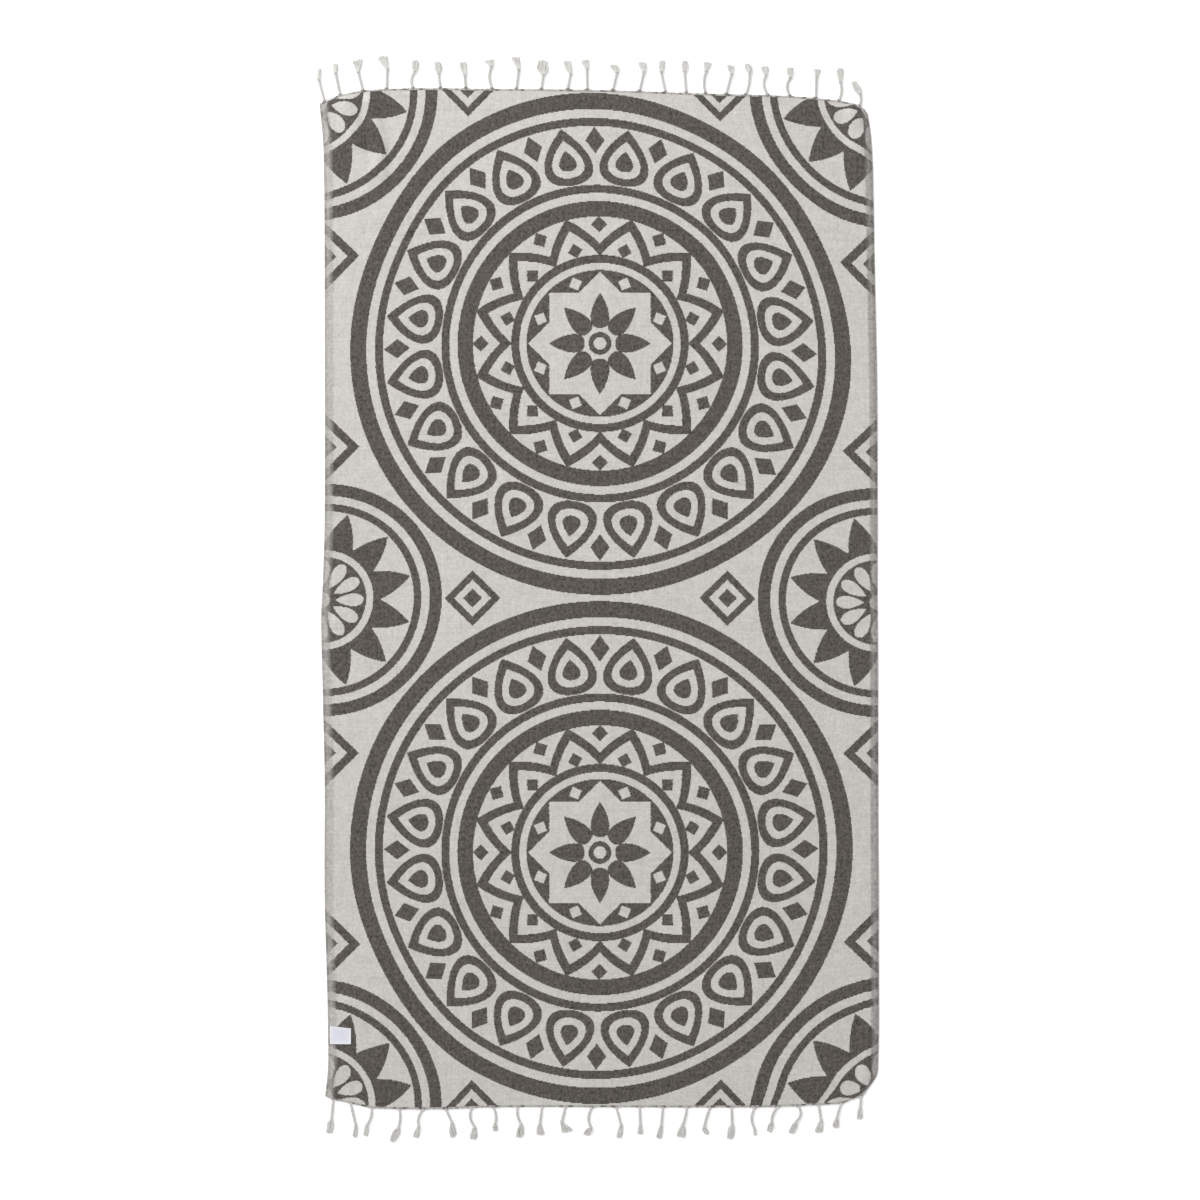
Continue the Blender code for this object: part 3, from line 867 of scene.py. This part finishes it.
KNOT_LONG = 0.00434
KNOT_SLANT, SLANT_TURNED = 0.0008, 1
WRAP_TURNS, WRAP_STEPS = 1.7, 34
RUN_FROM = 0.3  # a knot points to the tip from this share of the way to itself
WRAP_TIGHT, WRAP_WIDE = 0.0007, 0.0021  # the wrap's radius at its two ends and in its middle
WRAP_PLY, WRAP_PLY_OUT, WRAP_LAYS, WRAP_SIDES = 0.00095, 0.00055, 3, 7


def tie_knot(skein, lie, run, chance):
    """Wraps the cord round itself, where run is the way that it leaves the knot."""
    centre = cord_point(lie, 1)
    aside = UP.cross(run)
    wrap = []
    first = chance.uniform(0, tau)
    for i in range(WRAP_STEPS + 1):
        share = i / WRAP_STEPS
        angle = first + tau * WRAP_TURNS * share
        radius = between(WRAP_TIGHT, WRAP_WIDE, sin(pi * share) ** 0.5)
        advance = KNOT_LONG * (share - 0.5) + KNOT_SLANT * sin(angle + SLANT_TURNED)
        ring = aside * cos(angle) + UP * sin(angle)
        wrap.append(centre + run * advance + ring * radius)
    for ply in plies(wrap, lambda i: WRAP_PLY_OUT, lambda i: i / WRAP_STEPS * WRAP_LAYS):
        sweep(skein, WRAP, ply, [WRAP_PLY] * len(ply), WRAP_SIDES, behind=lie.knot_y)


YARN_RADIUS = 0.00052
YARN_FOOT, YARN_TIP, YARN_TAPER = 1.1, 0.72, 3  # as shares of that, and how late a yarn thins
YARN_SIDES, YARN_STEPS = 5, 8
TUFT_YARNS, YARNS_PER_MM = 34, 1.5  # in each tuft, and more for each millimetre that it is wide
TUFT_FOOT = 0.0028  # the tuft's width where it leaves the knot
TUFT_MORE = 1.1  # its yarns spread a little past its measured width
SIDES_SHORTER = 0.04  # how much shorter the yarns at its sides are
STRAY, CURL = 0.12, 0.0016  # how far a yarn strays from its place in the fan, and its tip to one side
SHORTEST, LONGEST = 0.88, 1.08
WAVE_HIGH, WAVE_TURNED = 0.0005, 8
OPEN_BEND = 0.8  # how soon a tuft opens that stays open
SHUT_AT, SHUT_BEND = 0.86, 0.75  # and how one opens and closes again
TOP_AT_KNOT, TOP_AT_TIP = 0.0052, 0.0026  # how high the uppermost yarns lie
LOWEST, DROP = 0.0006, 3  # the lowest yarns reach the floor in a third of the tuft's length


def brush_tuft(skein, lie, tassel, run, chance):
    """The loose yarns past the knot, fanned out over the floor."""
    aside = UP.cross(run)
    count = int(TUFT_YARNS + tassel.tuft * YARNS_PER_MM)
    for k in range(count):
        fan = between(-1, 1, (k + 0.5) / count) + chance.uniform(-STRAY, STRAY)
        layer = chance.random()
        length = chance.uniform(SHORTEST, LONGEST) * (1 - SIDES_SHORTER * fan * fan)
        wave, curl = chance.uniform(0, tau), chance.uniform(-CURL, CURL)
        yarn, radii = [], []
        for i in range(YARN_STEPS + 1):
            share = i / YARN_STEPS
            x = lie.root_x + between(lie.knot_x, lie.tip_x, share * length)
            y = lie.root_y + lie.end * between(lie.knot_y, lie.tip_y, share * length)
            opened = between(sin(SHUT_AT * pi * share**SHUT_BEND), share**OPEN_BEND, tassel.flare)
            spread = between(TUFT_FOOT, tassel.tuft * MM * TUFT_MORE - 2 * YARN_RADIUS, opened) / 2
            wavy = WAVE_HIGH * share * sin(wave + share * WAVE_TURNED)
            aside_by = fan * spread + curl * share**3 + wavy
            top = between(TOP_AT_KNOT, TOP_AT_TIP, share)
            rise = between(max(LOWEST, KNOT_RISE * (1 - share * DROP)), top, layer)
            yarn.append(Vector((x, y, rise)) + aside * aside_by + MIDDLE)
            radii.append(YARN_RADIUS * between(YARN_FOOT, YARN_TIP, share**YARN_TAPER))
        sweep(skein, YARN, yarn, radii, YARN_SIDES, BRUSHED, behind=lie.knot_y)


STRIP_THICK = 0.0024
STRIP_CELLS, STRIP_CROWD = 460, 0.5
STRIP_PROFILE = ((0, 0.1), (0.7, 0), (0.97, 0.25), (1.05, 0.55), (0.95, 0.85), (0.6, 1), (0, 0.96))
PULL_WIDE = 0.006  # how wide a stretch of the hem a tassel draws out
RIPPLE, RIPPLE_TURNS, FINE_RIPPLE_TURNS = 0.00022, 610, 1370  # how high, and radians in a metre


def add_strip(skein, end, tassels):
    """The hem's outermost edge: a narrow rounded strip, drawn out a little at each root."""
    shares = crowded(STRIP_CELLS, STRIP_CROWD)[::-end]
    outside, inside = lay(shares, [1, 1 - hem_share] if end > 0 else [0, hem_share])
    sides = len(STRIP_PROFILE)
    rims = []
    for a, b in zip(inside, outside):
        pull = sum(exp(-(((b.x - tassel.root * MM) / PULL_WIDE) ** 2)) for tassel in tassels) * PULL_AT_ROOT
        ripple = RIPPLE * (sin(b.x * RIPPLE_TURNS) + sin(b.x * FINE_RIPPLE_TURNS + end))
        out = b + Vector((0, end * (pull + ripple), 0))
        rims.append(range(len(skein.points), len(skein.points) + sides))
        for away, high in STRIP_PROFILE:
            skein.points.append(a.lerp(out, away) + Vector((0, 0, high * STRIP_THICK)) + MIDDLE)
    skin(skein, STRIP, rims, lambda i, k: (inside[i].x, k / sides), HEMMED)


# The cords and the brushes are one off-white yarn: the cords' colour is darker with painted shade, and the
# brushes' colour is paler with a painted glare.
CORD_YARN_WITH_PAINTED_SHADE = (0.590, 0.583, 0.560, 1)
BRUSH_YARN_WITH_PAINTED_GLARE = (0.675, 0.667, 0.638, 1)
ROOT_YARN = (0.13, 0.12, 0.11, 1)
YARN_THREADS, YARN_LAY = 3, 0.0021  # in a yarn, and how far along one takes the next one's place
# GROOVE_PAINTED_SHADE is painted shade in the twist's grooves and a painted highlight on its ridges.
YARN_SHADE, GROOVE_PAINTED_SHADE, FUZZ_SHADE = 0.12, 0.03, 0.10
GROOVE_HIGH, FUZZ_HIGH, YARN_DEEP = 0.6, 0.5, 0.00015
FUZZ_FINE = 900  # turns in a metre along the yarn
ROOT_UNEVEN, ROOT_GAIN, ROOT_MOST = 0.002, 1.6, 0.85  # how the charcoal fades out along the yarns


def cotton(name, yarn_colour):
    """Off-white yarn, whose own fine twist shows, and which is charcoal where it leaves the hem."""
    material = new_finish(name)
    yarn = first_tone(material, "ShaderNodeUVMap", {"uv_map": "yarn"})
    around, along = yarn.axis("X"), yarn.axis("Y")
    own = around.whole().speckle("1D") - 0.5
    groove = ((around * YARN_THREADS + along / YARN_LAY) * tau).sine()
    fuzz = yarn.noise("3D", FUZZ_FINE, detail=2)
    root = (1 - (along + own * ROOT_UNEVEN) / ROOT_REACH).at_least(0)
    share = (root * ROOT_GAIN).at_most(ROOT_MOST)
    # groove paints shade into the twist's grooves and a highlight onto its ridges; own and fuzz are the
    # yarn's own uneven tone.
    shade = 1 + own * YARN_SHADE + groove * GROOVE_PAINTED_SHADE + (fuzz - 0.5) * FUZZ_SHADE
    looks = {
        "Base Color": share.blend(yarn_colour, ROOT_YARN).shaded(shade),
        "Normal": (groove * GROOVE_HIGH + fuzz * FUZZ_HIGH).relief(YARN_DEEP),
        "Roughness": COTTON_ROUGH,
        "Specular IOR Level": 0.25,
        "Sheen Weight": 0.15,
    }
    return dress(material, looks)


RUNS_FINE = 70  # about how often the two yarns change places, in a metre
RUNS_FROM, RUNS_GAIN, LEAST_CHARCOAL, MOST_CHARCOAL = 0.38, 3.2, 0.25, 0.9
HEM_WEFTS, HEM_LAY = 5, 0.004  # round the strip, and how far along one takes the next one's place
HEM_SHADE, HEM_MOTTLE = 0.9, 0.25
WEFT_HIGH, HEM_MOTTLE_HIGH, HEM_DEEP = 0.4, 0.6, 0.0003


def hem_edge():
    """The hem's last few wefts, where both yarns show in short runs."""
    material = new_finish("hem_edge")
    yarn = first_tone(material, "ShaderNodeUVMap", {"uv_map": "yarn"})
    across, around = yarn.axis("X"), yarn.axis("Y")
    fine = across.snapped(END_PITCH).speckle("1D")
    runs = (across.noise("1D", RUNS_FINE, detail=2) - RUNS_FROM) * RUNS_GAIN
    share = runs.at_least(LEAST_CHARCOAL).at_most(MOST_CHARCOAL)
    wefts = ((around * HEM_WEFTS + across / HEM_LAY) * tau).sine()
    looks = {
        "Base Color": share.blend(WHITE_YARN, CHARCOAL_YARN).shaded(HEM_SHADE + fine * HEM_MOTTLE),
        "Normal": (wefts * WEFT_HIGH + fine * HEM_MOTTLE_HIGH).relief(HEM_DEEP),
        "Roughness": COTTON_ROUGH,
        "Specular IOR Level": 0.25,
    }
    return dress(material, looks)


# twisted_cotton carries painted shade in its colour, and brushed_cotton a painted glare.
fringe_finishes = [cotton("twisted_cotton", CORD_YARN_WITH_PAINTED_SHADE), cotton("brushed_cotton", BRUSH_YARN_WITH_PAINTED_GLARE), hem_edge()]


def make_fringe(name, end, tassels, seed):
    """All the tassels of one end, with the strip that holds them."""
    skein = Skein([], [], [], [], [])
    chance = Random(seed)
    for tassel in tassels:
        lie = lie_of(tassel, end)
        twist_cord(skein, lie, chance)
        past_x, past_y = lie.tip_x - lie.knot_x * RUN_FROM, lie.tip_y - lie.knot_y * RUN_FROM
        run = Vector((past_x, end * past_y, 0)).normalized()
        tie_knot(skein, lie, run, chance)
        brush_tuft(skein, lie, tassel, run, chance)
    add_strip(skein, end, tassels)
    maps = {"yarn": skein.places, "OFBake": yarn_sheet(skein.strands)}
    return add_piece(name, skein.points, skein.faces, fringe_finishes, skein.worn, maps)


upper_fringe = make_fringe("upper_tassels", 1, UPPER_TASSELS, seed=11)
lower_fringe = make_fringe("lower_tassels", -1, LOWER_TASSELS, seed=23)
for fringe, solid in ((upper_fringe, "fringe_top"), (lower_fringe, "fringe_bottom")):
    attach(fringe, "root")
    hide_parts(solid)


# ---- The care label ------------------------
# A bare white satin tape, folded over on itself. Its two ends are sewn down together at the left selvedge,
# near the lower end, and its fold lies loose on the face of the cloth.

LABEL_LEFT, LABEL_RIGHT = -0.4645, -0.4285
LABEL_TOP, LABEL_FOOT = -0.736, -0.767
LABEL_DROOP = 0.004  # the fold's upper corner hangs this much lower
LABEL_CURL = 0.0016  # how far the fold's lower corner stands up
LABEL_PUFF = 0.0007  # and how far the upper leaf bulges
LABEL_GAP = 0.0004  # between cloth and label
TAPE_THICK = 0.0003
TAPE_GAP = 0.0005  # between the two leaves of the fold
LABEL_ROWS, LEAF_CELLS, FOLD_CELLS = 18, 14, 6
SEAM_HOLDS = 6  # the leaves part over the first of so many parts of their length
SEAM_IN = 0.0035
STITCH_LONG, STITCH_GAP = 0.0021, 0.0009
STITCH_RADIUS, STITCH_SIDES = 0.00028, 6
STITCH_HUMP = ((0, -0.0004), (0.25, 0.0001), (0.75, 0.0001), (1, -0.0004))  # along and up
TAPE, THREAD = 0, 1  # the finishes of the label


def label_grid():
    """The tape's middle: from its lower end at the seam to the fold, and back over itself."""
    rows = []
    for j in range(LABEL_ROWS + 1):
        down = j / LABEL_ROWS
        row = []
        for i in range(2 * LEAF_CELLS + FOLD_CELLS + 1):
            if i <= LEAF_CELLS:
                out, high = i / LEAF_CELLS, 0.0
            elif i < LEAF_CELLS + FOLD_CELLS:
                turn = (i - LEAF_CELLS) / FOLD_CELLS * pi
                out, high = 1 + sin(turn) * TAPE_GAP / 2 / (LABEL_RIGHT - LABEL_LEFT), sin(turn / 2) ** 2
            else:
                out, high = (2 * LEAF_CELLS + FOLD_CELLS - i) / LEAF_CELLS, 1.0
            x = between(LABEL_LEFT, LABEL_RIGHT, out)
            y = between(LABEL_TOP - LABEL_DROOP * out, LABEL_FOOT, down)
            puff = LABEL_PUFF * sin(pi * min(out, 1)) * high + LABEL_CURL * out**3 * down**2
            loose = min(out * SEAM_HOLDS, 1)
            z = between(0.0, high * TAPE_GAP, loose) + high * TAPE_THICK + puff
            row.append(Vector((x, y, z + CLOTH_THICK + lift(x, y) + LABEL_GAP)) + MIDDLE)
        rows.append(row)
    return rows


SHEEN_BEND = 3.5  # how narrow the paler edge of painted sheen is
SATIN_SHADE, SATIN_MOTTLE, SATIN_FINE = 0.97, 0.10, 700
RIB_HIGH, SATIN_DEEP, SATIN_STRENGTH = 0.5, 0.0001, 0.3
# The paler colours towards the edges are a painted sheen and highlight of the curling satin; the middle
# keeps the tape's and thread's own bluish white.
TAPE_WHITE, TAPE_SHEEN = (0.685, 0.695, 0.785, 1), (0.84, 0.83, 0.86, 1)
THREAD_WHITE, THREAD_SHEEN = (0.64, 0.64, 0.67, 1), (0.72, 0.72, 0.74, 1)


def from_middle(place, one, other, shift):
    """0 halfway between the label's two edges, 1 at either."""
    return abs(place - (one + other) / 2 - shift) / (abs(one - other) / 2)


def satin(name, colour, sheen_colour, rough, ribs):
    """A smooth woven finish with fine ribs across it, paler towards the label's seam, fold and sides with a
    painted sheen and highlight. ribs is how far apart they lie."""
    material = new_finish(name)
    place = first_tone(material, "ShaderNodeTexCoord", {}, gives="Object")
    along = place.axis("Y")
    aside = from_middle(place.axis("X"), LABEL_LEFT, LABEL_RIGHT, MIDDLE.x)
    beyond = from_middle(along, LABEL_TOP, LABEL_FOOT, MIDDLE.y)
    # painted sheen: paler towards the seam, fold and sides
    painted_sheen = aside.at_least(beyond).at_most(1) ** SHEEN_BEND
    fuzz = place.noise("3D", SATIN_FINE, detail=2)
    shade = SATIN_SHADE + (fuzz - 0.5) * SATIN_MOTTLE
    height = (along * (tau / ribs)).sine() * RIB_HIGH + fuzz
    looks = {
        "Base Color": painted_sheen.blend(colour, sheen_colour).shaded(shade),
        "Normal": height.relief(SATIN_DEEP, SATIN_STRENGTH),
        "Roughness": rough,
        "Sheen Weight": 0.1,
    }
    return dress(material, looks)


label_points, label_faces = shell(label_grid(), lambda i: TAPE_THICK)
unmapped = [(0, 0)] * sum(len(face) for face in label_faces)
label = Skein(label_points, label_faces, unmapped, [TAPE] * len(label_faces), [])
seam_x = LABEL_LEFT + SEAM_IN
seam_y = LABEL_FOOT + STITCH_GAP
while seam_y + STITCH_LONG < LABEL_TOP:
    top = CLOTH_THICK + lift(seam_x, seam_y) + LABEL_GAP + TAPE_GAP + 2 * TAPE_THICK
    places = [(seam_x, seam_y + STITCH_LONG * share, top + hump) for share, hump in STITCH_HUMP]
    stitch = [Vector(place) + MIDDLE for place in places]
    sweep(label, YARN, stitch, [STITCH_RADIUS] * len(stitch), STITCH_SIDES, THREAD)
    seam_y += STITCH_LONG + STITCH_GAP
tape = satin("satin_tape", TAPE_WHITE, TAPE_SHEEN, rough=0.45, ribs=0.0009)
thread = satin("sewing_thread", THREAD_WHITE, THREAD_SHEEN, rough=0.6, ribs=0.0004)
care_label = add_piece("satin_label", label.points, label.faces, [tape, thread], label.worn, {})
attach(care_label, "root")
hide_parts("care_label")


# ---- Floor, light and camera ------------------------
# A plain white floor, lit a little from below like a light table, under even white light. One large soft
# lamp at the upper left brings out the ridges. The camera hangs straight above the towel, with a long lens.

PLAIN_WHITE = (1, 1, 1, 1)
FLOOR_WHITE = (0.94, 0.94, 0.94, 1)
FLOOR_HALF = 30.0
FLOOR_GLOW = 0.22
SKY_GLOW = 0.65
LAMP_PLACE = Vector((-3.2, 3.6, 4.4))
LAMP_WIDE = 2.6
LAMP_WATTS = 287
FRAME_WIDE = 2.064  # what the picture takes in at the height of the cloth
FRAME_DOWN = 0.0035  # the picture's middle lies this far below the towel's
LENS, SENSOR = 85, 36
SEES_TO = 100

floor_mesh = bpy.data.meshes.new("floor")
floor_corners = [(x * FLOOR_HALF, y * FLOOR_HALF, 0) for x, y in ((-1, -1), (1, -1), (1, 1), (-1, 1))]
floor_mesh.from_pydata(floor_corners, [], [(0, 1, 2, 3)])
floor_looks = {
    "Base Color": FLOOR_WHITE,
    "Roughness": 1,
    "Specular IOR Level": 0,
    "Emission Color": PLAIN_WHITE,
    "Emission Strength": FLOOR_GLOW,
}
floor_mesh.materials.append(dress(new_finish("light_table"), floor_looks))
floor = add_object("floor", floor_mesh)
floor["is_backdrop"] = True

world = bpy.data.worlds.new("even_light")
world.use_nodes = True
world.node_tree.nodes["Background"].inputs["Color"].default_value = PLAIN_WHITE
world.node_tree.nodes["Background"].inputs["Strength"].default_value = SKY_GLOW
bpy.context.scene.world = world

lamp_data = bpy.data.lights.new("softbox", "AREA")
lamp_data.size = LAMP_WIDE
lamp_data.energy = LAMP_WATTS
lamp = add_object("softbox", lamp_data)
lamp.location = LAMP_PLACE
lamp.rotation_euler = (-LAMP_PLACE).to_track_quat("-Z", "Y").to_euler()

camera_data = bpy.data.cameras.new("camera")
camera_data.lens = LENS
camera_data.sensor_width = SENSOR
camera_data.clip_end = SEES_TO
camera = add_object("camera", camera_data)
half_view = atan(SENSOR / 2 / LENS)
camera.location = MIDDLE + Vector((0, -FRAME_DOWN, CLOTH_THICK + FRAME_WIDE / 2 / tan(half_view)))
bpy.context.scene.camera = camera
bpy.context.scene.view_settings.view_transform = "Standard"

cad, visual = ([list(corner) for corner in box] for box in (solid_box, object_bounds()))
